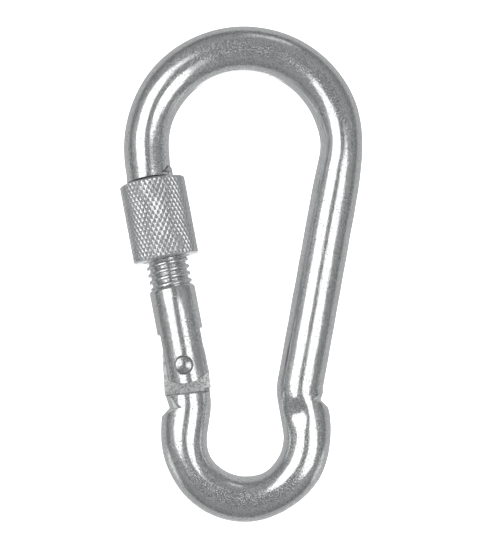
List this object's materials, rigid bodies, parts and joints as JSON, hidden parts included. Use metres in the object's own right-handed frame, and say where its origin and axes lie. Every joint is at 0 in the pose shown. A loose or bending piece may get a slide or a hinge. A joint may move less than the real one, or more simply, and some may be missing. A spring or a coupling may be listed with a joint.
{
  "type": "screw-lock snap hook keyring",
  "caption": "Pear-shaped snap hook of bent round steel bar, with a sprung inward-opening gate and a knurled screw sleeve that locks it shut.",
  "frame": {"origin": "centre of the wide upper bow, in the hook's middle plane, which is where it hangs", "axes": "+Z along the hook towards the upper bow, +X from the gate to the spine, +Y through the thickness away from the viewer"},
  "size_m": [0.0345, 0.0092, 0.0699],
  "materials": {
    "bar_steel": "bright zinc plate over drawn bar, with fine specks and light scuffs",
    "gate_steel": "bright zinc plate over turned steel",
    "rivet_steel": "bright zinc plate, domed by riveting",
    "spring_steel": "drawn spring wire",
    "plunger_steel": "turned steel",
    "knurled_steel": "bright zinc plate over a fine diamond knurl"
  },
  "bodies": {
    "hook": {"hook": "bar_steel"},
    "gate": {"gate": "gate_steel", "rivet": "rivet_steel", "spring": "spring_steel"},
    "sleeve": {"sleeve": "knurled_steel"},
    "plunger": {"plunger": "plunger_steel"}
  },
  "joints": [
    {"name": "gate_hinge", "type": "hinge", "parent": "hook", "child": "gate", "pos_m": [-0.0084, 0, -0.03104], "axis": [0, 1, 0], "range_deg": [0, 34], "stiffness_Nm_per_rad": 0.05, "springref_deg": -29.79},
    {"name": "sleeve_travel", "type": "slide", "parent": "gate", "child": "sleeve", "axis": [-0.1869, 0, 0.9824], "range_m": [-0.0036, 0.0035]},
    {"name": "plunger_lift", "type": "slide", "parent": "gate", "child": "plunger", "axis": [-0.1869, 0, 0.9824], "range_m": [0, 0.00085], "deforming": ["spring"]}
  ],
  "couplings": [
    {"joint": "plunger_lift", "follows": "gate_hinge", "m_per_rad": 0.0013481}
  ]
}
